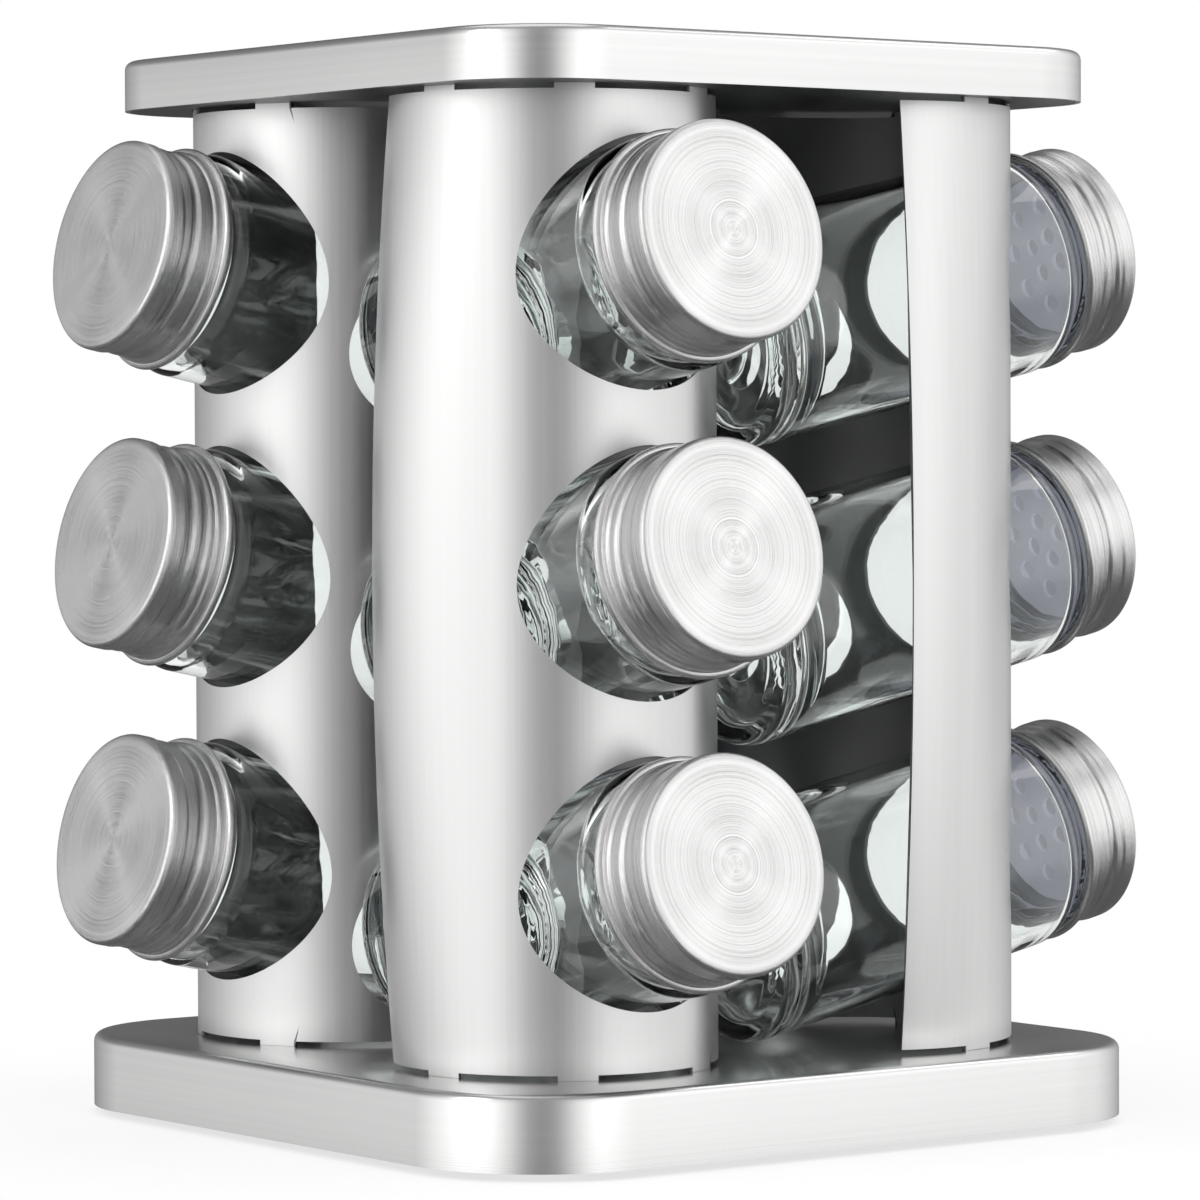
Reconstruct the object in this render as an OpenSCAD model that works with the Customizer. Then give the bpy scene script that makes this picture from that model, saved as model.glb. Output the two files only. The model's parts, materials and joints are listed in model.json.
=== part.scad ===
// Revolving spice rack: twelve screw-lidded glass jars held at a tilt in four
// curved sheet-metal panels, between two pressed trays, on a ball-race foot.
// The rack's axis is Z and the worktop is at z = 0. Side 0 faces -Y; the other
// three sides are side 0 turned by 90, 180 and 270 degrees about Z.

/* [Trays] */
// Side of the square base tray
base_side = 163; // [150:1:180]
// Corner radius of the base tray
base_corner = 29; // [15:1:40]
// Height of the base tray, from its rim to its top face
base_h = 14.5; // [13:0.5:18]
// Gap left between the base tray's rim and the worktop
base_gap = 1.5; // [1:0.1:2]
// Side of the square top tray
top_side = 148.5; // [140:0.5:160]
// Corner radius of the top tray
top_corner = 22; // [12:1:35]
// Height of the top tray
top_h = 10; // [6:0.5:14]
// Thickness of the pressed trays
tray_t = 1; // [0.6:0.1:1.4]
// Clear height between the two trays
clear_h = 185; // [185:1:200]

/* [Panels] */
// Outside radius of a panel's curve
panel_r = 31.3; // [30:0.1:32]
// Thickness of a panel's sheet
panel_t = 0.8; // [0.5:0.1:1]
// Sideways distance from the rack's axis to a panel's centre of curvature
panel_side = 37; // [36:0.5:39]
// Forward distance from the rack's axis to a panel's centre of curvature
panel_out = 34.8; // [34:0.1:36]
// Angle from the panel's front line to its free edge
free_edge = 112; // [100:1:120]
// Angle from the panel's front line to its inner edge
inner_edge = 130; // [122:1:131]
// Gap between a panel's long edge and the trays
panel_gap = 1; // [0.5:0.1:2]
// Radius of the holes that the jars pass through
hole_r = 23.4; // [23.2:0.1:24]
// Radius of the holes that face the bases of the next side's jars
rest_r = 15.5; // [10:0.5:18]

/* [Jars] */
// Upward tilt of a jar, lid end high
tilt = 11.8; // [10:0.1:12]
// Distance from the rack's axis to the centre of a lid's face
lid_reach = 91.4; // [91:0.1:95]
// Height of the lowest lid's centre
lid_z = 57.4; // [57.4:0.1:60]
// Distance from one row of jars to the next
row_pitch = 58; // [57:0.5:60]
// Length of a jar with its lid on
jar_l = 92.8; // [90:0.1:93]
// Outside radius of a jar's body
jar_r = 22.3; // [20:0.1:22.4]
// Thickness of a jar's side wall
glass_t = 2.1; // [1.5:0.1:3]
// Outside radius of a jar's neck
neck_r = 19; // [18.5:0.1:19.2]

/* [Lids] */
// Outside radius of a lid's upper band
lid_r = 20.9; // [20.6:0.1:21.2]
// Height of a lid's skirt down to its rolled bead
skirt_h = 13.3; // [12:0.1:13.6]
// Outside radius of the rolled bead
bead_r = 22.2; // [21.8:0.1:22.3]
// Thickness of the lid's sheet
lid_t = 0.4; // [0.3:0.05:0.5]
// Number of holes in the shaker insert's outer ring
shaker_holes = 8; // [5:1:10]

/* [Turntable] */
// Radius of the circle that the balls run on
race_r = 46; // [35:1:50]
// Radius of a ball
ball_r = 2.5; // [2:0.1:3]
// Number of balls
ball_count = 16; // [8:1:24]
// Radius of the pivot's shank
pivot_r = 3; // [2:0.1:4]

/* [Hidden] */
$fn = 96;
eps = 0.01;
sides = ["front", "right", "back", "left"];
rows = ["upper", "middle", "lower"];
base_top = base_gap + base_h;
cap_under = base_top + clear_h;
tab_sweep = 14; // degrees of the panel's curve
tab_angles = [-175, -125, -70, 20]; // places of the bent tabs round the curve
slot_play = 0.3; // on each side of a tab
end_play = 1; // past each end of a tab or a panel, in degrees of its curve

mouth = 2.4; // depth of the jar's mouth below the lid's face
neck_l = 12.2;
shoulder_l = 4.6;
bore_r = 16.6;
heel_r = 3;
floor_t = 6;
punt_d = 2; // depth of the hollow under the floor
shoulder_r = 3.8;
insert_cup_t = 1;
insert_hole_r = 1.9;
insert_rings = [[0.62, 0], [0.25, 20]]; // share of the bore's radius, and first angle
inner_holes = 4;
liner_t = 1;
bead_t = 0.85;
play = 0.1; // between the lid, its liner and the jar's mouth
sifter_drop = 3;

foot_h = 2;
foot_pad_r = 5.5;
feet = 4;
foot_plate_t = 1.2;
foot_plate_r = 56;
race_w = 4.2; // half width of the raised race
race_rise = 2;
race_play = 0.05;
ball_seat = 1; // how deep the balls sink into either plate
ball_z = foot_h + foot_plate_t + race_rise - ball_seat + ball_r;
dish_t = 1.2;
dish_under = ball_z + ball_r - ball_seat;
dish_r = 58;
dish_flange_r = 68;
rivet_head_t = 1;

function jar_node(kind, s, t) = str(kind, "_", sides[s], "_", rows[t]);
function panel_node(s) = str("panel_", sides[s]);
function polar(r, a) = [r * cos(a), r * sin(a)];
function arc(c, r, a0, a1, n = 4) = [for (i = [0:n]) c + polar(r, a0 + (a1 - a0) * i / n)];

// Square with round corners, centred on the origin
module rounded_square(side, r) {
    square([side - 2 * r, side], center = true);
    square([side, side - 2 * r], center = true);
    for (x = [-1, 1], y = [-1, 1])
        translate([x, y] * (side / 2 - r))
            circle(r);
}

// Shallow pressed tray, open downwards, with its top face at z = h
module tray(side, r, h) {
    difference() {
        linear_extrude(h)
            rounded_square(side, r);
        translate([0, 0, -eps])
            linear_extrude(h - tray_t + eps)
                rounded_square(side - 2 * tray_t, r - tray_t);
    }
}

// Puts a shape drawn with its axis on Z, lid end up, where jar t of side s lies
module at_jar(s, t) {
    rotate([0, 0, 90 * s])
        translate([-panel_side, -lid_reach, lid_z + row_pitch * (2 - t)])
            rotate([90 - tilt, 0, 0])
                children();
}

module at_panel(s) {
    rotate([0, 0, 90 * s])
        translate([-panel_side, -panel_out, 0])
            children();
}

// Part of a panel's curved sheet, from the angle a0 counted from +X. side_play thickens
// it, to make a slot or a cutter
module curved_sheet(a0, sweep, z, h, side_play = 0) {
    translate([0, 0, z])
        rotate([0, 0, a0])
            rotate_extrude(angle = sweep)
                translate([panel_r - panel_t - side_play, 0])
                    square([panel_t + 2 * side_play, h]);
}

module tab_slots(z, h) {
    for (s = [0:3])
        at_panel(s)
            for (a = tab_angles)
                curved_sheet(a - end_play, tab_sweep + 2 * end_play, z, h, slot_play);
}

module base_cover() {
    color("silver")
        difference() {
            translate([0, 0, base_gap])
                tray(base_side, base_corner, base_h);
            tab_slots(base_top - 2 * tray_t, 3 * tray_t);
        }
}

module top_cap() {
    color("silver")
        translate([0, 0, cap_under])
            tray(top_side, top_corner, top_h);
}

// Flat sheet that closes the top tray from below and takes the panels' upper tabs
module top_plate() {
    color("gainsboro")
        difference() {
            translate([0, 0, cap_under])
                linear_extrude(tray_t)
                    rounded_square(top_side - 2 * tray_t, top_corner - tray_t);
            tab_slots(cap_under - tray_t, 3 * tray_t);
        }
}

// Cuts back a panel's long edges to its tabs, over the height from z to z + h
module tab_gaps(z, h) {
    starts = concat([-90 - free_edge - end_play], [for (a = tab_angles) a + tab_sweep]);
    ends = concat(tab_angles, [inner_edge - 90 + end_play]);
    for (i = [0:len(starts) - 1])
        curved_sheet(starts[i], ends[i] - starts[i], z, h, slot_play);
}

// Curved panel: three jar holes in front and three smaller ones in its inner flank
module panel(s) {
    tab_z = base_top - tray_t;
    color("lightgray")
        difference() {
            at_panel(s)
                curved_sheet(-90 - free_edge, free_edge + inner_edge, tab_z, clear_h + 2 * tray_t);
            at_panel(s) {
                tab_gaps(tab_z - eps, tray_t + panel_gap + eps);
                tab_gaps(cap_under - panel_gap, tray_t + panel_gap + eps);
            }
            for (t = [0:2]) {
                at_jar(s, t)
                    translate([0, 0, -panel_out - panel_r])
                        cylinder(r = hole_r, h = panel_out + panel_r);
                at_jar((s + 1) % 4, t)
                    translate([0, 0, -jar_l - panel_r])
                        cylinder(r = rest_r, h = panel_r);
            }
        }
}

// Upper half of the turntable: a dish that hangs under the base tray and rides the balls
module turntable_plate() {
    flange_z = base_top - tray_t - dish_t;
    color("slategray")
        difference() {
            union() {
                translate([0, 0, dish_under])
                    cylinder(r = dish_r, h = dish_t);
                translate([0, 0, flange_z])
                    cylinder(r = dish_flange_r, h = dish_t);
                translate([0, 0, dish_under])
                    cylinder(r = dish_r, h = flange_z - dish_under + eps);
            }
            translate([0, 0, dish_under + dish_t])
                cylinder(r = dish_r - dish_t, h = base_h);
            cylinder(r = pivot_r + race_play, h = base_h);
            ball_groove();
        }
}

module ball_groove() {
    translate([0, 0, ball_z])
        rotate_extrude()
            translate([race_r, 0])
                circle(ball_r + race_play, $fn = 32);
}

module foot_plate() {
    color("slategray")
        difference() {
            union() {
                translate([0, 0, foot_h])
                    cylinder(r = foot_plate_r, h = foot_plate_t);
                translate([0, 0, foot_h])
                    difference() {
                        cylinder(r = race_r + race_w, h = foot_plate_t + race_rise);
                        translate([0, 0, -eps])
                            cylinder(r = race_r - race_w, h = base_h);
                    }
            }
            cylinder(r = pivot_r, h = base_h);
            ball_groove();
        }
}

module pivot_rivet() {
    head_r = 2 * pivot_r;
    color("dimgray") {
        translate([0, 0, foot_h - rivet_head_t])
            cylinder(r = head_r, h = rivet_head_t);
        translate([0, 0, foot_h - eps])
            cylinder(r = pivot_r, h = dish_under + dish_t + race_play - foot_h + 2 * eps);
        translate([0, 0, dish_under + dish_t + race_play])
            cylinder(r = head_r, h = rivet_head_t);
    }
}

module bearing_balls() {
    color("white")
        for (i = [0:ball_count - 1])
            rotate([0, 0, 360 * i / ball_count])
                translate([race_r, 0, ball_z])
                    sphere(ball_r, $fn = 32);
}

module rubber_feet() {
    color("black")
        for (i = [0:feet - 1])
            rotate([0, 0, 360 * (i + 0.5) / feet])
                translate([race_r, 0, 0])
                    cylinder(r = foot_pad_r, h = foot_h);
}

// Glass jar: thick floor with a punt, straight body, round shoulder and a bored neck
module jar(s, t) {
    bottom = -jar_l;
    neck_end = -mouth - neck_l;
    body_end = neck_end - shoulder_l;
    inner_r = jar_r - glass_t;
    floor_z = bottom + floor_t;
    outline = concat(
        [[0, bottom + punt_d], [jar_r / 2, bottom + 0.7 * punt_d], [jar_r - heel_r - 2, bottom]],
        arc([jar_r - heel_r, bottom + heel_r], heel_r, -90, 0),
        arc([jar_r - shoulder_r, body_end], shoulder_r, 0, 70),
        [[neck_r, neck_end], [neck_r, -mouth], [bore_r, -mouth], [bore_r, neck_end]],
        [[inner_r - 1.2, body_end + 1], [inner_r, body_end - 2]],
        arc([inner_r - heel_r, floor_z + heel_r], heel_r, 0, -90),
        [[0, floor_z]]
    );
    color("lightcyan")
        at_jar(s, t)
            rotate_extrude()
                polygon(outline);
}

// Sifter pressed into the jar's neck: a flanged cup with a ring of round holes
module shaker_insert(s, t) {
    seat = -mouth;
    flange_t = mouth - lid_t - liner_t - 2 * play;
    deck = seat - sifter_drop;
    counts = [shaker_holes, inner_holes];
    color("whitesmoke")
        at_jar(s, t)
            difference() {
                union() {
                    translate([0, 0, seat])
                        cylinder(r = neck_r - 0.3, h = flange_t);
                    translate([0, 0, deck - insert_cup_t])
                        cylinder(r = bore_r, h = sifter_drop + insert_cup_t + eps);
                }
                translate([0, 0, deck])
                    cylinder(r = bore_r - insert_cup_t, h = sifter_drop + flange_t + eps);
                for (k = [0, 1], i = [0:counts[k] - 1])
                    rotate([0, 0, 360 * i / counts[k] + insert_rings[k][1]])
                        translate([insert_rings[k][0] * bore_r, 0, deck - 2 * insert_cup_t])
                            cylinder(r = insert_hole_r, h = 3 * insert_cup_t, $fn = 24);
            }
}

// Stamped screw lid: round-edged face, stepped skirt and a rolled bead
module lid(s, t) {
    edge = 1.2;
    neck_in = 0.5;
    step_z = -4;
    band_z = -10;
    lip = lid_r + 0.2;
    outer = concat(
        [[0, 0]],
        arc([lid_r - edge, -edge], edge, 90, 0),
        [[lid_r, step_z], [lid_r - neck_in, step_z - 0.6], [lid_r - neck_in, band_z],
         [lip, band_z - 0.6], [lip, -skirt_h]]
    );
    inner = [[lip - lid_t, -skirt_h], [lip - lid_t, band_z - 0.4],
             [lid_r - neck_in - lid_t, band_z + 0.2], [lid_r - neck_in - lid_t, step_z - 0.8],
             [lid_r - lid_t, step_z - 0.2], [lid_r - lid_t, -edge], [lid_r - edge, -lid_t],
             [0, -lid_t]];
    color("silver")
        at_jar(s, t)
            rotate_extrude() {
                polygon(concat(outer, inner));
                translate([bead_r - bead_t, -skirt_h])
                    circle(bead_t, $fn = 24);
            }
}

// Soft sealing disc inside the lid
module lid_liner(s, t) {
    color("white")
        at_jar(s, t)
            translate([0, 0, -lid_t - liner_t - play])
                cylinder(r = neck_r + 0.4, h = liner_t);
}

base_cover();
top_cap();
top_plate();
turntable_plate();
foot_plate();
pivot_rivet();
bearing_balls();
rubber_feet();
for (s = [0:3]) {
    panel(s);
    for (t = [0:2]) {
        jar(s, t);
        shaker_insert(s, t);
        lid(s, t);
        lid_liner(s, t);
    }
}
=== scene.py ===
import json
import math

import bpy
from mathutils import Matrix, Vector


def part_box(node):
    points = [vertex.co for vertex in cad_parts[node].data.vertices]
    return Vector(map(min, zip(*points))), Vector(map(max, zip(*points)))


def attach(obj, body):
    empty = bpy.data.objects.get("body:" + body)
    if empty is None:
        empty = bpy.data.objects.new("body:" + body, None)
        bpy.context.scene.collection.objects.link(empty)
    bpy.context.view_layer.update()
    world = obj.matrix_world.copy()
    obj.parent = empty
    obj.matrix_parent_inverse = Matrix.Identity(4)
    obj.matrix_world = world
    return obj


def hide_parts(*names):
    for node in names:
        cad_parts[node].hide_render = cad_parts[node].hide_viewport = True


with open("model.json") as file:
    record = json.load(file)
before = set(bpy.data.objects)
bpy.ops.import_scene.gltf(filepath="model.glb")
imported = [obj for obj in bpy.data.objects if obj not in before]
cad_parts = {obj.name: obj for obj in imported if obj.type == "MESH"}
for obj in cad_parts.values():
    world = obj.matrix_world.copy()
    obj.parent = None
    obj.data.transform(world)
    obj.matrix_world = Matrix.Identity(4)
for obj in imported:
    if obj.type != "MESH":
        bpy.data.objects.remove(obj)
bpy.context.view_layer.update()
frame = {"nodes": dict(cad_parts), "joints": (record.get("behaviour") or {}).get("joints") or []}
mm = 0.001
sides = ("front", "right", "back", "left")
rows = ("upper", "middle", "lower")
joints = {joint["name"]: joint for joint in frame["joints"]}
print("frame: the packed rack is in, with", len(frame["nodes"]), "nodes")

viewpoint = {
    "azimuth": -36.56, "distance": 1.111, "height": 0.1363,
    "pitch": -1.72, "roll": -0.2, "lens": 167,
}

studio = {
    "leftWindow": {
        "azimuth": -95, "elevation": 30, "distance": 1.4, "size": (0.35, 0.7), "power": 3.2,
    },
    "rightWindow": {
        "azimuth": 75, "elevation": 48, "distance": 1.4, "size": (0.4, 0.5), "power": 1.2,
    },
    "ceiling": {
        "azimuth": 160, "elevation": 78, "distance": 1.5, "size": (1.2, 1.2), "power": 4.0,
    },
}

paper = {
    "radius": 2.5, "clearBeyond": 0.22, "fullWithin": 0.11, "tone": 0.32, "glow": 0.72,
    "domeRadius": 12,
}

# brightness of the white room round the rack: degrees to the right of the camera's direction,
# then the level at the horizon and the level 25 degrees up
room = (
    (-180, 0.05, 0.05), (-150, 0.22, 0.10), (-118, 0.40, 0.16), (-88, 0.72, 0.40),
    (-62, 0.98, 0.66), (-40, 0.98, 0.76), (-24, 0.62, 0.50), (-12, 0.28, 0.26),
    (0, 0.18, 0.18), (12, 0.28, 0.26), (24, 0.62, 0.50), (40, 0.98, 0.80),
    (60, 0.84, 0.90), (88, 0.66, 0.82), (108, 0.66, 0.72), (130, 0.48, 0.52),
    (155, 0.25, 0.16), (180, 0.05, 0.05),
)
roomPower = 2.0


def direction(azimuth, elevation=0):
    a, e = math.radians(azimuth), math.radians(elevation)
    return Vector((math.sin(a) * math.cos(e), -math.cos(a) * math.cos(e), math.sin(e)))


def addCamera(v):
    place = direction(v["azimuth"]) * v["distance"] + Vector((0, 0, v["height"]))
    bpy.ops.object.camera_add(location=place)
    camera = bpy.context.object
    turn = Matrix.Rotation(math.radians(v["azimuth"]), 4, "Z")
    tip = Matrix.Rotation(math.radians(90 + v["pitch"]), 4, "X")
    roll = Matrix.Rotation(math.radians(v["roll"]), 4, "Z")
    camera.matrix_world = Matrix.Translation(place) @ turn @ tip @ roll
    camera.data.lens = v["lens"]
    camera.data.sensor_width = 36
    camera.data.clip_end = 50
    bpy.context.scene.camera = camera


def addSoftbox(name, box, aim=Vector((0, 0, 0.1))):
    place = aim + direction(box["azimuth"], box["elevation"]) * box["distance"]
    bpy.ops.object.light_add(type="AREA", location=place)
    lamp = bpy.context.object
    lamp.name = name
    lamp.rotation_euler = (aim - place).to_track_quat("-Z", "Y").to_euler()
    lamp.data.shape = "RECTANGLE"
    lamp.data.size, lamp.data.size_y = box["size"]
    lamp.data.energy = box["power"]
    lamp.visible_camera = False
    lamp.visible_transmission = False


class Value:
    def __init__(self, paint, socket):
        self.paint = paint
        self.socket = socket

    def calc(self, operation, *others):
        values = dict(enumerate((self,) + others))
        return self.paint.node("ShaderNodeMath", {"operation": operation}, values)

    def __add__(self, other):
        return self.calc("ADD", other)

    def __radd__(self, other):
        return self.calc("ADD", other)

    def __sub__(self, other):
        return self.calc("SUBTRACT", other)

    def __rsub__(self, other):
        return (self * -1).calc("ADD", other)

    def __mul__(self, other):
        return self.calc("MULTIPLY", other)

    def __rmul__(self, other):
        return self.calc("MULTIPLY", other)


class Paint:
    def __init__(self, tree):
        self.tree = tree

    def node(self, kind, settings, inputs, output=0):
        made = self.tree.nodes.new(kind)
        for key, setting in settings.items():
            if key == "stops":
                ramp = made.color_ramp.elements
                while len(ramp) < len(setting):
                    ramp.new(0.5)
                for element, (place, shade) in zip(ramp, setting):
                    element.position = place
                    element.color = (shade, shade, shade, 1) if isinstance(shade, float) else shade
            else:
                setattr(made, key, setting)
        for key, value in inputs.items():
            if isinstance(value, Value):
                self.tree.links.new(value.socket, made.inputs[key])
            else:
                made.inputs[key].default_value = value
        return Value(self, made.outputs[output])

    def objectPlace(self):
        return self.node("ShaderNodeTexCoord", {}, {}, "Object")

    def turnedPlace(self):
        return self.node("ShaderNodeAttribute", {"attribute_name": "turned"}, {}, "Vector")

    def parts(self, vector):
        split = self.node("ShaderNodeSeparateXYZ", {}, {0: vector})
        outputs = split.socket.node.outputs
        return [Value(self, outputs[i]) for i in range(3)]

    def noise(self, vector, scale, detail=2.0):
        multiply = {"operation": "MULTIPLY"}
        stretched = self.node("ShaderNodeVectorMath", multiply, {0: vector, 1: scale})
        inputs = {"Vector": stretched, "Scale": 1.0, "Detail": detail}
        return self.node("ShaderNodeTexNoise", {}, inputs, "Fac")

    def rings(self, distance, scale, detail):
        # noise that changes along one distance only
        inputs = {"W": distance * scale, "Detail": detail}
        return self.node("ShaderNodeTexNoise", {"noise_dimensions": "1D"}, inputs, "Fac")

    def along(self, vector, way):
        dot = {"operation": "DOT_PRODUCT"}
        return self.node("ShaderNodeVectorMath", dot, {0: vector, 1: way}, "Value")

    def bump(self, height, distance, strength=1.0):
        inputs = {"Strength": strength, "Distance": distance, "Height": height}
        return self.node("ShaderNodeBump", {}, inputs)

    def show(self, surface):
        output = self.tree.nodes["Material Output"]
        self.tree.links.new(surface.socket, output.inputs[0])

    def spread(self, value, start, end):
        # 0 at start, 1 at end, smooth between
        settings = {"interpolation_type": "SMOOTHSTEP"}
        limits = {"From Min": start, "From Max": end, "To Min": 0.0, "To Max": 1.0}
        if start > end:
            limits = {"From Min": end, "From Max": start, "To Min": 1.0, "To Max": 0.0}
        return self.node("ShaderNodeMapRange", settings, {"Value": value, **limits})

    def blend(self, amount, low, high):
        # the colour sockets of a Mix node are inputs 6 and 7 and output 2
        return self.node("ShaderNodeMix", {"data_type": "RGBA"}, {0: amount, 6: low, 7: high}, 2)


def newMaterial(name):
    material = bpy.data.materials.new(name)
    material.use_nodes = True
    tree = material.node_tree
    shader = tree.nodes["Principled BSDF"]
    return material, Paint(tree), shader


def feed(paint, shader, **sockets):
    for name, value in sockets.items():
        socket = shader.inputs[name.replace("_", " ")]
        if isinstance(value, Value):
            paint.tree.links.new(value.socket, socket)
        else:
            socket.default_value = value


def grey(level, warmth=0.0):
    return (level * (1 + warmth), level, level * (1 - warmth), 1)


# fine and wide are scratches per metre along X, Y and Z
steelFinish = {
    # insideShadeTone darkens the inner side of a panel as painted shade
    "panel": {
        "tone": 0.60, "rough": 0.36, "fine": (5200, 5200, 26), "wide": (700, 700, 5),
        "groove": 1.3e-5, "insideShadeTone": 0.34, "insideRough": 0.1,
    },
    "tray": {
        "tone": 0.62, "rough": 0.23, "fine": (22, 22, 6000), "wide": (4, 4, 900),
        "faceFine": (22, 6000, 22), "faceWide": (4, 900, 4), "groove": 1.0e-5,
    },
    # painted shade: the top plate gets a near-black tone, so that the space under the top tray
    # looks dark
    "inner": {
        "tone": 0.13, "rough": 0.36, "fine": (30, 5200, 5200), "wide": (5, 600, 600),
        "groove": 0.8e-5, "insideShadeTone": 0.34, "insideRough": 0.1,
    },
    "zinc": {
        "tone": 0.46, "rough": 0.38, "fine": (900, 900, 900), "wide": (90, 90, 90),
        "groove": 1.5e-5, "insideShadeTone": 0.34, "insideRough": 0.1,
    },
    "lid": {"tone": 0.64, "rough": 0.20, "fine": 11000, "wide": 900, "groove": 2.6e-5},
}


def steelTone(paint, f, wide, smear):
    # streaks and soft clouds round the sheet's own grey
    streaks = wide * 0.6 + smear * 0.4
    return paint.blend(streaks, grey(f["tone"] * 0.9), grey(f["tone"] * 1.08, 0.006))


def brushedSteel(name, f):
    material, paint, shader = newMaterial(name)
    place = paint.objectPlace()
    fine = paint.noise(place, f["fine"], 3.0)
    wide = paint.noise(place, f["wide"], 4.0)
    smear = paint.noise(place, (9, 9, 7), 3.0)
    height = fine * 0.8 + wide * 1.4
    # the inner side of a panel is painted darker, at about a third of the outer tone, as painted
    # shade for the dim inside of the rack; it is also made rougher
    insideShadeMask = paint.node("ShaderNodeAttribute", {"attribute_name": "inside"}, {}, "Fac")
    bright = steelTone(paint, f, wide, smear)
    tone = paint.blend(insideShadeMask, bright, grey(f["tone"] * f["insideShadeTone"]))
    rough = f["rough"] - 0.05 + wide * 0.06 + smear * 0.05 + insideShadeMask * f["insideRough"]
    feed(paint, shader, Base_Color=tone, Metallic=1.0, Roughness=rough,
         Normal=paint.bump(height, f["groove"]))
    return material


def trayBrushed(name, f):
    # lines run round the walls, and along one side of the flat face
    material, paint, shader = newMaterial(name)
    place = paint.objectPlace()
    normal = paint.node("ShaderNodeNewGeometry", {}, {}, "Normal")
    facing = paint.parts(normal)[2].calc("ABSOLUTE").calc("GREATER_THAN", 0.7)
    wallFine = paint.noise(place, f["fine"], 3.0)
    faceFine = paint.noise(place, f["faceFine"], 3.0)
    wallWide = paint.noise(place, f["wide"], 4.0)
    faceWide = paint.noise(place, f["faceWide"], 4.0)
    smear = paint.noise(place, (14, 14, 14), 3.0)
    fine = wallFine * (1 - facing) + faceFine * facing
    wide = wallWide * (1 - facing) + faceWide * facing
    feed(paint, shader, Base_Color=steelTone(paint, f, wide, smear), Metallic=1.0,
         Roughness=f["rough"] - 0.04 + wide * 0.05 + smear * 0.06,
         Normal=paint.bump(fine + wide, f["groove"]))
    return material


def spunSteel(name, f):
    # rings turned round the lid's own axis, on its face and on its skirt
    material, paint, shader = newMaterial(name)
    turned = paint.turnedPlace()
    x, y, z = paint.parts(turned)
    ring = (x * x + y * y).calc("SQRT") + z * -1
    fine = paint.rings(ring, f["fine"], 1.0)
    wide = paint.rings(ring, f["wide"], 2.0)
    smear = paint.noise(turned, (60, 60, 60), 3.0)
    cloud = wide * 0.5 + smear * 0.5
    colour = paint.blend(cloud, grey(f["tone"] * 0.93), grey(f["tone"] * 1.06, 0.006))
    feed(paint, shader, Base_Color=colour, Metallic=1.0,
         Roughness=f["rough"] - 0.03 + smear * 0.08,
         Normal=paint.bump(fine + wide * 0.08, f["groove"]))
    return material


def clearGlass(name):
    material, paint, shader = newMaterial(name)
    turned = paint.turnedPlace()
    ripple = paint.noise(turned, (130, 130, 45), 2.0)
    feed(paint, shader, Base_Color=(0.955, 0.985, 0.972, 1), Roughness=0.0, IOR=1.5,
         Transmission_Weight=1.0, Normal=paint.bump(ripple, 6e-5))
    return material


def milkyPlastic(name):
    material, paint, shader = newMaterial(name)
    grain = paint.noise(paint.turnedPlace(), (1400, 1400, 1400), 2.0)
    # a faint glow stands in for light that soaks through the milky wall
    feed(paint, shader, Base_Color=(0.90, 0.90, 0.95, 1), Roughness=0.42 + grain * 0.1,
         IOR=1.49, Transmission_Weight=0.3, Emission_Color=(0.80, 0.82, 0.95, 1),
         Emission_Strength=0.09, Normal=paint.bump(grain, 4e-5, 0.4))
    return material


def plainSurface(name, low, high, rough, metallic, grain, depth):
    material, paint, shader = newMaterial(name)
    place = paint.objectPlace()
    speck = paint.noise(place, (grain, grain, grain), 3.0)
    cloud = paint.noise(place, (grain / 12, grain / 12, grain / 12), 3.0)
    feed(paint, shader, Base_Color=paint.blend(cloud, low, high), Metallic=metallic,
         Roughness=rough + speck * 0.08, Normal=paint.bump(speck, depth, 0.5))
    return material


def whiteFloor(name, f):
    # fades out away from the rack, so that the floor meets the backdrop with no line
    material, paint, shader = newMaterial(name)
    x, y, _ = paint.parts(paint.objectPlace())
    away = (x * x + y * y).calc("SQRT")
    fade = paint.spread(away, f["clearBeyond"], f["fullWithin"])
    feed(paint, shader, Base_Color=grey(f["tone"]), Roughness=0.8,
         Emission_Color=grey(1.0), Emission_Strength=f["glow"])
    clear = paint.node("ShaderNodeBsdfTransparent", {}, {})
    surface = Value(paint, shader.outputs[0])
    paint.show(paint.node("ShaderNodeMixShader", {}, {0: fade, 1: clear, 2: surface}))
    return material


def whiteBackdrop(name):
    material, paint, shader = newMaterial(name)
    paint.show(paint.node("ShaderNodeEmission", {}, {"Color": grey(1.0), "Strength": 1.0}))
    return material


def whiteRoom():
    # the steel mirrors this room, which is bright at both sides and dim behind the camera
    world = bpy.data.worlds.new("studioRoom")
    bpy.context.scene.world = world
    world.use_nodes = True
    paint = Paint(world.node_tree)
    place = paint.node("ShaderNodeTexCoord", {}, {}, "Generated")
    azimuth = viewpoint["azimuth"]
    ahead = paint.along(place, direction(azimuth))
    aside = paint.along(place, direction(azimuth + 90))
    up = paint.parts(place)[2]
    around = aside.calc("ARCTAN2", ahead) * (1 / math.tau) + 0.5
    levels = []
    for column in (1, 2):
        stops = [(0.5 + stop[0] / 360, stop[column]) for stop in room]
        levels.append(paint.node("ShaderNodeValToRGB", {"stops": stops}, {0: around}))
    wall = paint.blend(paint.spread(up, 0.05, 0.42), *levels)
    wall = paint.blend(paint.spread(up, 0.5, 0.9), wall, grey(0.22))
    colour = paint.blend(paint.spread(up, -0.10, -0.40), wall, grey(0.07))
    background = world.node_tree.nodes["Background"]
    world.node_tree.links.new(colour.socket, background.inputs[0])
    background.inputs[1].default_value = roomPower


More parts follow.
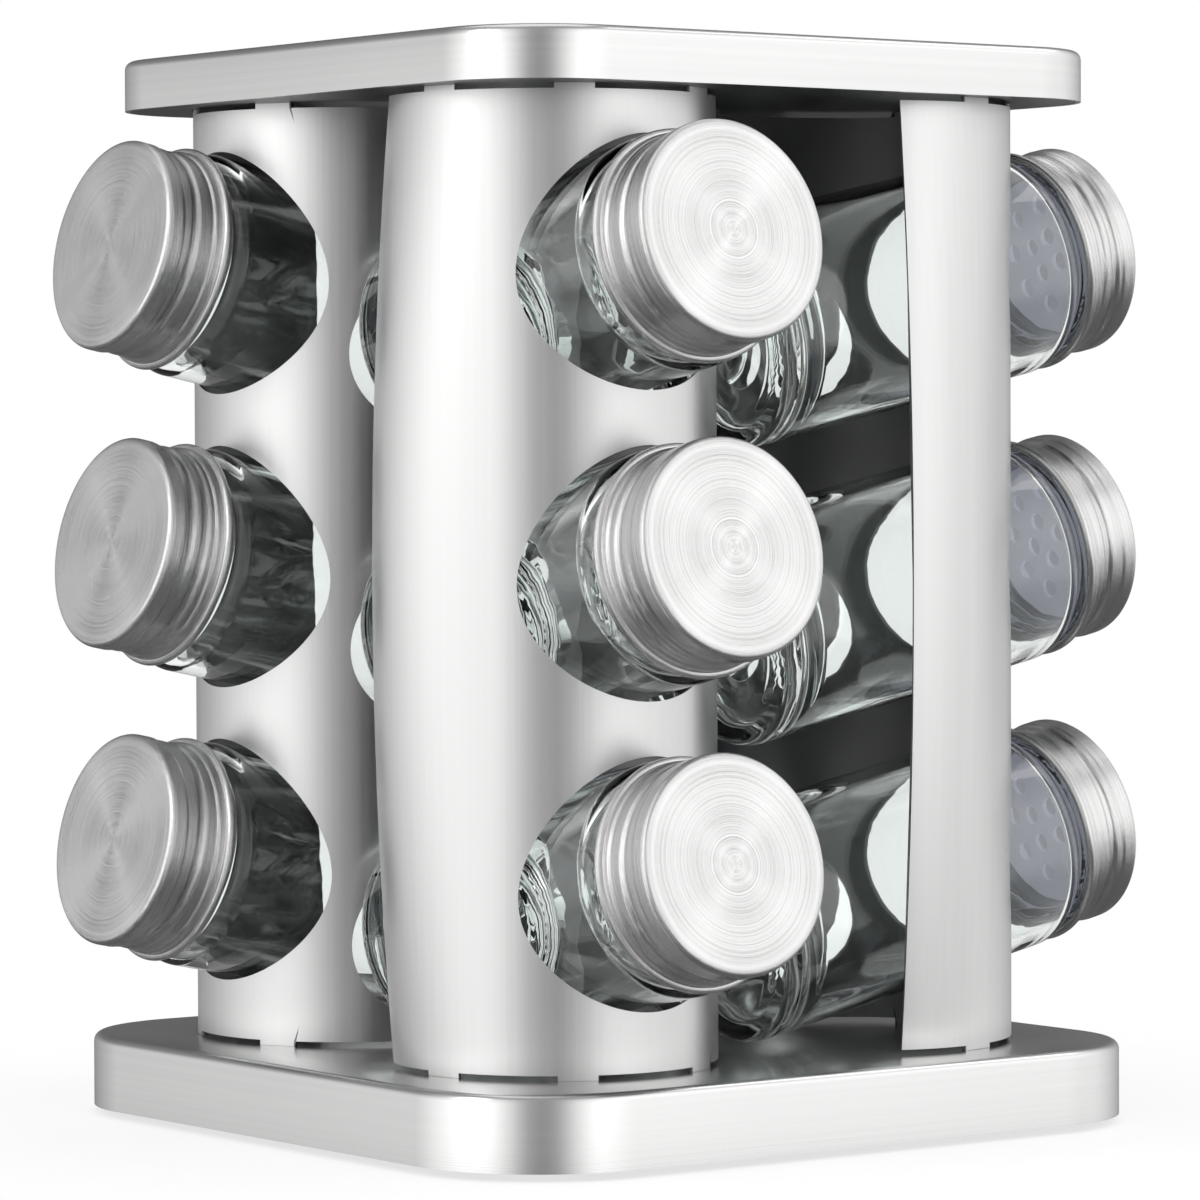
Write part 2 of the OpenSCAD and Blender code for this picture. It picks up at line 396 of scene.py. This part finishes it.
def dressStudio():
    for name, box in studio.items():
        addSoftbox(name, box)
    bpy.ops.mesh.primitive_circle_add(vertices=96, radius=paper["radius"], fill_type="NGON")
    floor = bpy.context.object
    floor.name = "floor"
    floor.data.materials.append(whiteFloor("floorPaper", paper))
    floor.visible_transmission = False
    floor.visible_glossy = False
    radius = paper["domeRadius"]
    bpy.ops.mesh.primitive_uv_sphere_add(segments=48, ring_count=24, radius=radius)
    backdrop = bpy.context.object
    backdrop.name = "backdrop"
    backdrop.data.materials.append(whiteBackdrop("backdropWhite"))
    backdrop.visible_diffuse = False
    backdrop.visible_glossy = False
    backdrop.visible_shadow = False
    whiteRoom()
    bpy.context.scene.view_settings.view_transform = "Standard"
    print("studio: camera, lights, floor and backdrop are set")


def editMode():
    bpy.ops.object.mode_set(mode="EDIT")
    bpy.ops.mesh.select_mode(type="VERT")


def objectMode():
    bpy.ops.object.mode_set(mode="OBJECT")


def pick(piece, kind, wanted):
    # selects the faces or edges that wanted() says yes to, and stays in edit mode
    bpy.ops.object.mode_set(mode="EDIT")
    bpy.ops.mesh.select_mode(type=kind)
    bpy.ops.mesh.select_all(action="DESELECT")
    objectMode()
    for part in piece.data.polygons if kind == "FACE" else piece.data.edges:
        part.select = wanted(part)
    bpy.ops.object.mode_set(mode="EDIT")


def alone(piece):
    bpy.ops.object.select_all(action="DESELECT")
    piece.select_set(True)
    bpy.context.view_layer.objects.active = piece


def drawOutline(name, points):
    # one vertex, extruded from point to point
    bpy.ops.object.select_all(action="DESELECT")
    bpy.ops.mesh.primitive_plane_add(size=mm)
    piece = bpy.context.object
    piece.name = name
    editMode()
    bpy.ops.mesh.merge(type="CENTER")
    bpy.ops.transform.translate(value=points[0])
    for here, there in zip(points, points[1:]):
        step = Vector(there) - Vector(here)
        bpy.ops.mesh.extrude_vertices_move(TRANSFORM_OT_translate={"value": step})
    objectMode()
    return piece


def spinOutline(piece, steps, angle=360, centre=(0, 0, 0)):
    editMode()
    bpy.ops.mesh.select_all(action="SELECT")
    # the spin operator turns clockwise, so the angle is given the other way round
    bpy.ops.mesh.spin(steps=steps, angle=-math.radians(angle), center=centre, axis=(0, 0, 1))
    bpy.ops.mesh.select_all(action="SELECT")
    bpy.ops.mesh.remove_doubles(threshold=1e-6)
    bpy.ops.mesh.normals_make_consistent(inside=False)
    objectMode()


def lathe(name, outline, steps=96):
    # outline is a list of (radius, height) in millimetres
    piece = drawOutline(name, [(r * mm, 0, z * mm) for r, z in outline])
    spinOutline(piece, steps)
    return piece


def modify(piece, kind, **settings):
    alone(piece)
    modifier = piece.modifiers.new(kind.title(), kind)
    for key, value in settings.items():
        setattr(modifier, key, value)
    bpy.ops.object.modifier_apply(modifier=modifier.name)


def cutAway(piece, cutter):
    modify(piece, "BOOLEAN", operation="DIFFERENCE", solver="EXACT", object=cutter)
    bpy.data.objects.remove(cutter)


def smooth(piece, angle=35):
    alone(piece)
    bpy.ops.object.shade_smooth_by_angle(angle=math.radians(angle))


def bend(centre, radius, start, end, steps=5):
    # points along an arc, in degrees, from start to end
    angles = [math.radians(start + (end - start) * i / steps) for i in range(steps + 1)]
    return [(centre[0] + radius * math.cos(a), centre[1] + radius * math.sin(a)) for a in angles]


def markTurned(piece):
    # keeps each point's place on the lathe, for the ring patterns
    mesh = piece.data
    places = mesh.attributes.new("turned", "FLOAT_VECTOR", "POINT")
    for vertex, place in zip(mesh.vertices, places.data):
        place.vector = vertex.co


def copyTo(model, name, matrix):
    piece = model.copy()
    piece.data = model.data.copy()
    piece.name = name
    piece.data.name = name
    piece.data.transform(matrix)
    bpy.context.scene.collection.objects.link(piece)
    return piece


def finishPiece(piece, body, slot, *nodes):
    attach(piece, body)
    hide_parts(*nodes)


def jarPlace(side, row, spin=0.0):
    # the lid's face is at the origin of a jar's own frame, with the jar's axis on Z
    joint = joints[f"lid_turn_{side}_{row}"]
    out = Vector(joint["axis"]).normalized()
    across = Vector((0, 0, 1)).cross(out).normalized()
    rise = out.cross(across)
    turn = Matrix((across, rise, out)).transposed().to_4x4()
    return Matrix.Translation(Vector(joint["pos_m"])) @ turn @ Matrix.Rotation(spin, 4, "Z")


tray = {"sheet": 1.0, "edge": 1.7, "baseCorner": 29, "topCorner": 22, "cornerSteps": 20}


def pressedTray(name, node, corner, t):
    low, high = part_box(node)
    width, height = high.x - low.x, high.z - low.z
    bpy.ops.object.select_all(action="DESELECT")
    bpy.ops.mesh.primitive_plane_add(size=width, location=(0, 0, low.z))
    piece = bpy.context.object
    piece.name = name
    bpy.ops.object.transform_apply(location=True, rotation=False, scale=True)
    editMode()
    bpy.ops.mesh.select_all(action="SELECT")
    bpy.ops.mesh.bevel(offset=corner * mm, offset_type="OFFSET", segments=t["cornerSteps"],
                       affect="VERTICES")
    bpy.ops.mesh.select_all(action="SELECT")
    bpy.ops.mesh.extrude_region_move(TRANSFORM_OT_translate={"value": (0, 0, height)})
    objectMode()
    pick(piece, "FACE", lambda face: face.center.z < low.z + 0.1 * mm)
    bpy.ops.mesh.delete(type="ONLY_FACE")
    objectMode()
    points = piece.data.vertices
    topRim = high.z - 0.1 * mm
    pick(piece, "EDGE", lambda edge: min(points[i].co.z for i in edge.vertices) > topRim)
    bpy.ops.mesh.bevel(offset=t["edge"] * mm, segments=5, affect="EDGES")
    bpy.ops.mesh.select_all(action="SELECT")
    bpy.ops.mesh.normals_make_consistent(inside=False)
    objectMode()
    modify(piece, "SOLIDIFY", thickness=t["sheet"] * mm, offset=-1, use_even_offset=True)
    return piece


# angles are in degrees and lengths in millimetres; a cut runs along the jar's axis
panel = {
    "sheet": 0.8, "freeEdge": 112, "innerEdge": 130, "step": 2.0, "rowStep": 5.0,
    "hole": 23.4, "holeCut": (-55, 0), "restHole": 15.5, "restCut": (-115, -88),
    "gap": 1.0, "tabs": (-175, -125, -70, 20), "tabSweep": 14,
    "flare": 4.2, "draw": -1.4, "flareSweep": 55, "burr": 0.12,
}


def sheetBlock(name, centre, radius, sheet, start, sweep, low, high, step=2.0, rowStep=None):
    # part of an upright tube: a closed outline spun round the panel's own axis
    rowCount = max(1, round((high - low) / (rowStep or (high - low))))
    levels = [low + (high - low) * i / rowCount for i in range(rowCount + 1)]
    inner = radius - sheet
    turn = Matrix.Rotation(math.radians(start), 3, "Z")
    up = [Vector((radius, 0, z)) for z in levels]
    down = [Vector((inner, 0, z)) for z in reversed(levels)]
    points = [turn @ p * mm + Vector(centre) for p in up + down + up[:1]]
    piece = drawOutline(name, points)
    spinOutline(piece, max(2, round(sweep / step)), sweep, (*centre[:2], 0))
    alone(piece)
    editMode()
    bpy.ops.mesh.select_all(action="DESELECT")
    bpy.ops.mesh.select_non_manifold()
    bpy.ops.mesh.edge_face_add()
    bpy.ops.mesh.select_all(action="SELECT")
    bpy.ops.mesh.normals_make_consistent(inside=False)
    objectMode()
    return piece


def rod(radius, start, end, steps=96):
    # a cutter lying along a line, from start to end
    run = Vector(end) - Vector(start)
    bpy.ops.object.select_all(action="DESELECT")
    bpy.ops.mesh.primitive_cylinder_add(vertices=steps, radius=radius, depth=run.length)
    piece = bpy.context.object
    turn = run.to_track_quat("Z", "Y").to_matrix().to_4x4()
    piece.data.transform(Matrix.Translation((Vector(start) + Vector(end)) / 2) @ turn)
    return piece


def panelCentre():
    low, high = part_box("panel_front")
    radius = (high.x - low.x) / 2
    return Vector(((low.x + high.x) / 2, low.y + radius, 0)), radius / mm


def jarHole(piece, place, radius, cut):
    start, end = (place @ Vector((0, 0, depth * mm)) for depth in cut)
    cutAway(piece, rod(radius * mm, start, end))


def springFreeEdge(piece, p, start):
    # the free edge springs outwards between its tabs
    centre, radius = panelCentre()
    low, high = (corner.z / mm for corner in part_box("panel_front"))
    middle, half = (low + high) / 2, (high - low) / 2
    # marks the inner side of the sheet, where the panel material paints shade
    inside = piece.data.attributes.new("inside", "FLOAT", "POINT").data
    for vertex in piece.data.vertices:
        away = vertex.co - centre
        reach = math.hypot(away.x, away.y) / mm
        inside[vertex.index].value = float(reach < radius - p["sheet"] / 2)
        angle = math.degrees(math.atan2(away.y, away.x))
        angle = angle - 360 if angle > 90 else angle
        near = max(0.0, 1 - (angle - start) / p["flareSweep"])
        arch = max(0.0, 1 - ((vertex.co.z / mm - middle) / half) ** 2)
        amount = near * near * (3 - 2 * near) * arch
        out = Vector((away.x, away.y, 0)).normalized()
        along = Vector((out.y, -out.x, 0))
        vertex.co += (out * p["flare"] + along * p["draw"]) * amount * mm


def frontPanel(p):
    centre, radius = panelCentre()
    low, high = (corner.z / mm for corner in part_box("panel_front"))
    start, sweep = -90 - p["freeEdge"], p["freeEdge"] + p["innerEdge"]
    piece = sheetBlock("panelModel", centre, radius, p["sheet"], start, sweep, low, high,
                       p["step"], p["rowStep"])
    starts = [start - 1] + [a + p["tabSweep"] for a in p["tabs"]]
    ends = list(p["tabs"]) + [start + sweep + 1]
    depth = 1 + p["gap"]
    for a, b in zip(starts, ends):
        for z in (low - 1, high - depth):
            cutter = sheetBlock("cutter", centre, radius + 0.5, p["sheet"] + 1, a, b - a,
                                z, z + depth + 1)
            cutAway(piece, cutter)
    for row in rows:
        jarHole(piece, jarPlace("front", row), p["hole"], p["holeCut"])
        jarHole(piece, jarPlace("right", row), p["restHole"], p["restCut"])
    springFreeEdge(piece, p, start)
    modify(piece, "BEVEL", width=p["burr"] * mm, segments=1, limit_method="ANGLE",
           angle_limit=math.radians(50))
    smooth(piece, 30)
    return piece


def tabSlots(piece, p, z):
    centre, radius = panelCentre()
    for k in range(4):
        turn = Matrix.Rotation(math.radians(90 * k), 3, "Z")
        for a in p["tabs"]:
            cutter = sheetBlock("cutter", turn @ centre, radius + 0.3, p["sheet"] + 0.6,
                                a - 1 + 90 * k, p["tabSweep"] + 2, z - 2, z + 2, 4.0)
            cutAway(piece, cutter)


# punt is the hollow under the base, as radius and rise from the middle outwards
jar = {
    "length": 92.8, "body": 22.3, "wall": 2.1, "neck": 19.0, "bore": 16.6, "mouth": 2.4,
    "neckLength": 12.2, "shoulder": 4.6, "heel": 3.0, "floor": 6.0, "steps": 120,
    "punt": ((0, 2.2), (6, 2.05), (11, 1.43), (14.6, 0.44), (16.6, 0), (17.6, 0.1), (18.6, 0)),
    "stippleRing": (16.8, 20.6), "stippleZone": 1.2, "stipple": 0.35,
    "thread": 0.55, "threadPitch": 3.2, "threadTurns": 1.4, "threadStart": 4.0,
}


def jarOutline(j):
    bottom, neckEnd = -j["length"], -j["mouth"] - j["neckLength"]
    bodyEnd = neckEnd - j["shoulder"]
    inner, floor = j["body"] - j["wall"], -j["length"] + j["floor"]
    turn = j["shoulder"] - 0.8
    outline = [(radius, bottom + rise) for radius, rise in j["punt"]]
    outline += bend((j["body"] - j["heel"], bottom + j["heel"]), j["heel"], -86, 0, 6)
    outline += [(j["body"], bottom + 12), (j["body"], bottom + 40), (j["body"], bodyEnd - 6)]
    outline += bend((j["body"] - turn, bodyEnd), turn, 0, 66, 6)
    outline += bend((j["neck"] + 1.1, neckEnd + 1.0), 1.1, 246, 180, 3)
    outline += [(j["neck"], neckEnd + 5), (j["neck"], -j["mouth"] - 0.5)]
    outline += bend((j["neck"] - 0.5, -j["mouth"] - 0.5), 0.5, 0, 90, 3)
    outline += bend((j["bore"] + 0.4, -j["mouth"] - 0.4), 0.4, 90, 180, 2)
    outline += [(j["bore"], neckEnd + 4)]
    outline += bend((inner - 3.4, bodyEnd - 0.4), 3.4, 62, 0, 5)
    outline += [(inner, bodyEnd - 10), (inner, bottom + 30)]
    outline += bend((inner - 4.5, floor + 4.5), 4.5, 0, -90, 7)
    outline += [(8, floor - 0.25), (0, floor - 0.4)]
    return outline


def glassJar(j):
    piece = lathe("jarModel", jarOutline(j), j["steps"])
    # ring of short ribs under the heel, every other line pushed in
    zone = (j["stippleZone"] - j["length"]) * mm
    inner, outer = j["stippleRing"]
    for vertex in piece.data.vertices:
        x, y, z = vertex.co
        radius = math.hypot(x, y) / mm
        line = round(math.degrees(math.atan2(y, x)) / (360 / j["steps"]))
        if z < zone and inner < radius < outer and line % 2:
            vertex.co.z += j["stipple"] * mm
    neckThread(piece, j)
    markTurned(piece)
    smooth(piece, 40)
    return piece


def neckThread(piece, j):
    # one rounded ridge wound round the neck, joined to the glass
    steps = 40
    total = round(steps * j["threadTurns"])
    crest = 0.62
    rib = [(-0.3, -1.0), (0.35, -0.55), (crest, 0), (0.35, 0.55), (-0.3, 1.0)]
    vertices, faces = [], []
    for i in range(total + 1):
        angle = 2 * math.pi * i / steps
        ends = min(1.0, i / 4, (total - i) / 4)
        drop = -j["threadStart"] - j["mouth"] - j["threadPitch"] * i / steps
        for out, up in rib:
            stand = out * j["thread"] / crest if out > 0 else out
            reach = (j["neck"] + stand * max(ends, 0.05)) * mm
            height = (drop + up * max(ends, 0.3)) * mm
            vertices.append((reach * math.cos(angle), reach * math.sin(angle), height))
    size = len(rib)
    for i in range(total):
        for k in range(size):
            a, b = i * size + k, i * size + (k + 1) % size
            faces.append((a, b, b + size, a + size))
    faces.append(tuple(range(size)))
    faces.append(tuple(range(total * size + size - 1, total * size - 1, -1)))
    mesh = bpy.data.meshes.new("thread")
    mesh.from_pydata(vertices, [], faces)
    ridge = bpy.data.objects.new("thread", mesh)
    bpy.context.scene.collection.objects.link(ridge)
    alone(ridge)
    editMode()
    bpy.ops.mesh.select_all(action="SELECT")
    bpy.ops.mesh.normals_make_consistent(inside=False)
    objectMode()
    modify(piece, "BOOLEAN", operation="UNION", solver="EXACT", object=ridge)
    bpy.data.objects.remove(ridge)


# holes are given as count, ring radius and the angle of the first
shaker = {
    "flange": 18.7, "flangeSheet": 0.8, "cup": 16.55, "wall": 0.9, "drop": 3.0, "deck": 1.0,
    "holes": ((8, 10.3, 0), (4, 4.2, 20)), "hole": 1.9, "softEdge": 0.12, "steps": 72,
}


def shakerInsert(s):
    seat = -jar["mouth"]
    deck = seat - s["drop"]
    cup, inner = s["cup"], s["cup"] - s["wall"]
    outline = [(0, deck - s["deck"]), (cup - 1.2, deck - s["deck"])]
    outline += bend((cup - 0.5, deck - s["deck"] + 0.5), 0.5, -90, 0, 3)
    outline += [(cup, seat)]
    outline += bend((s["flange"] - 0.3, seat + 0.3), 0.3, -90, 0, 2)
    outline += bend((s["flange"] - 0.3, seat + s["flangeSheet"] - 0.3), 0.3, 0, 90, 2)
    outline += bend((inner + 0.5, seat + s["flangeSheet"] - 0.5), 0.5, 90, 180, 3)
    outline += bend((inner - 0.6, deck + 0.6), 0.6, 0, -90, 3)
    outline += [(0, deck)]
    piece = lathe("shakerModel", outline, s["steps"])
    for count, ring, offset in s["holes"]:
        for i in range(count):
            angle = math.radians(360 * i / count + offset)
            x, y = ring * mm * math.cos(angle), ring * mm * math.sin(angle)
            under, above = (deck - 3) * mm, (deck + 2) * mm
            cutAway(piece, rod(s["hole"] * mm, (x, y, under), (x, y, above), 20))
    modify(piece, "BEVEL", width=s["softEdge"] * mm, segments=2, limit_method="ANGLE",
           angle_limit=math.radians(60))
    markTurned(piece)
    smooth(piece, 35)
    return piece


# the skirt's band is drawn in and carries the pressed thread; face is the dished top
lid = {
    "radius": 20.9, "edge": 1.2, "skirt": 13.3, "bead": 22.2, "beadWire": 0.85, "sheet": 0.4,
    "face": ((0, -0.12), (6, -0.12), (12, -0.072), (16.5, 0), (18.4, 0)),
    "band": 3.4, "bandLow": 10.6, "neckIn": 0.45, "lip": 21.1, "rowStep": 0.3, "steps": 144,
    "groove": 0.5, "groovePitch": 3.2, "grooveTurns": 1.35, "grooveStart": 5.0,
    "grooveWidth": 1.25,
}


def lidOutline(v):
    edge, radius = v["edge"], v["radius"]
    outline = list(v["face"]) + bend((radius - edge, -edge), edge, 90, 0, 7)
    count = round((v["bandLow"] - edge) / v["rowStep"])
    outline += [(radius, -edge - (v["bandLow"] - edge) * i / count) for i in range(1, count + 1)]
    lip, beadTop = v["lip"], v["beadWire"] - v["skirt"]
    outline += [(lip - 0.05, -v["bandLow"] - 0.35), (lip, -v["bandLow"] - 0.8),
                (lip, beadTop + 0.15), (lip + 0.1, beadTop)]
    outline += bend((v["bead"] - v["beadWire"], -v["skirt"]), v["beadWire"], 80, -170, 12)
    return outline


def grooveDepth(angle, z, v):
    # how far the thread is pressed in at this place, from 0 to 1
    depth = 0.0
    for turn in range(3):
        along = angle / (2 * math.pi) + turn
        if along > v["grooveTurns"]:
            continue
        centre = -v["grooveStart"] - v["groovePitch"] * along
        ends = min(1.0, along / 0.12, (v["grooveTurns"] - along) / 0.12)
        across = abs(z - centre) / (v["grooveWidth"] * (0.5 + 0.5 * ends))
        if across < 1:
            shape = 0.5 + 0.5 * math.cos(math.pi * across)
            depth = max(depth, ends * min(1.0, shape * 1.5))
    return depth


def screwLid(v):
    piece = lathe("lidModel", lidOutline(v), v["steps"])
    for vertex in piece.data.vertices:
        z, radius = vertex.co.z / mm, math.hypot(vertex.co.x, vertex.co.y) / mm
        if radius > v["radius"] - 0.01 and -v["bandLow"] - 0.01 < z < -v["edge"]:
            angle = math.atan2(vertex.co.y, vertex.co.x) % (2 * math.pi)
            inset = v["groove"] * grooveDepth(angle, z, v)
            band = min(1.0, max(0.0, (-z - v["band"]) / 0.7))
            inset += v["neckIn"] * band * band * (3 - 2 * band) * 0.6
            vertex.co.x *= 1 - inset / radius
            vertex.co.y *= 1 - inset / radius
    modify(piece, "SOLIDIFY", thickness=v["sheet"] * mm, offset=-1)
    markTurned(piece)
    smooth(piece, 50)
    return piece


# crease is the ring that the jar's rim presses into the foam
liner = {
    "top": -0.5, "under": -1.5, "radius": 19.4, "round": 0.1,
    "crease": ((16.5, 0), (16.8, 0.2), (18.6, 0.2), (18.9, 0)), "steps": 64,
}


def lidLiner(n):
    top, under, radius, turn = n["top"], n["under"], n["radius"], n["round"]
    outline = [(0, under), (16.2, under)]
    outline += [(reach, under + rise) for reach, rise in n["crease"]]
    outline += [(radius - turn, under), (radius, under + turn), (radius, top - turn),
                (radius - turn, top), (0, top)]
    piece = lathe("linerModel", outline, n["steps"])
    markTurned(piece)
    smooth(piece, 35)
    return piece


steelTray = trayBrushed("trayBrushed", steelFinish["tray"])
steelPanel = brushedSteel("panelBrushed", steelFinish["panel"])
steelInnerShaded = brushedSteel("innerBrushed", steelFinish["inner"])
steelZinc = brushedSteel("zincPlate", steelFinish["zinc"])
steelLid = spunSteel("lidSpun", steelFinish["lid"])
glassClear = clearGlass("jarGlass")
plasticMilky = milkyPlastic("shakerPlastic")
foamWhite = plainSurface("linerFoam", grey(0.78, 0.01), grey(0.86, 0.01), 0.6, 0.0, 2600, 4e-5)
rubberBlack = plainSurface("footRubber", grey(0.02), grey(0.035), 0.7, 0.0, 1800, 6e-5)
ballBright = plainSurface("ballSteel", grey(0.7), grey(0.78), 0.08, 1.0, 500, 1e-6)
rivetGrey = plainSurface("rivetSteel", grey(0.42), grey(0.52), 0.32, 1.0, 900, 1e-5)
print("finishes: eleven materials are ready")

addCamera(viewpoint)
dressStudio()

plainNodes = {
    "turntable_plate": steelZinc, "foot_plate": steelZinc, "pivot_rivet": rivetGrey,
    "bearing_balls": ballBright, "rubber_feet": rubberBlack, "top_plate": steelInnerShaded,
}
for name, material in plainNodes.items():
    for holder in frame["nodes"][name].material_slots:
        holder.material = material

baseTray = pressedTray("base_tray", "base_cover", tray["baseCorner"], tray)
tabSlots(baseTray, panel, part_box("base_cover")[1].z / mm)
smooth(baseTray, 35)
baseTray.data.materials.append(steelTray)
finishPiece(baseTray, "carousel", "tray_steel", "base_cover")
topTray = pressedTray("top_tray", "top_cap", tray["topCorner"], tray)
smooth(topTray, 35)
topTray.data.materials.append(steelTray)
finishPiece(topTray, "carousel", "tray_steel", "top_cap")

panelModel = frontPanel(panel)
panelModel.data.materials.append(steelPanel)
for k, side in enumerate(sides):
    turn = Matrix.Rotation(math.radians(90 * k), 4, "Z")
    piece = copyTo(panelModel, f"curved_panel_{side}", turn)
    finishPiece(piece, "carousel", "panel_steel", f"panel_{side}")
bpy.data.objects.remove(panelModel)
print("panels: four curved sheets, each with six holes")

models = {
    "glass": (glassJar(jar), glassClear, "jar", "jar", "jar_glass"),
    "sifter": (shakerInsert(shaker), plasticMilky, "shaker_insert", "jar", "shaker_plastic"),
    "screw_lid": (screwLid(lid), steelLid, "lid", "lid", "lid_steel"),
    "liner": (lidLiner(liner), foamWhite, "lid_liner", "liner", "liner_foam"),
}
for kind, (model, material, node, body, slot) in models.items():
    model.data.materials.append(material)
    count = 0
    for side in sides:
        for row in rows:
            spin = math.radians(137.5 * count + 40)
            piece = copyTo(model, f"{kind}_{side}_{row}", jarPlace(side, row, spin))
            finishPiece(piece, f"{body}_{side}_{row}", slot, f"{node}_{side}_{row}")
            count += 1
    bpy.data.objects.remove(model)
    print(kind + ": twelve in place")
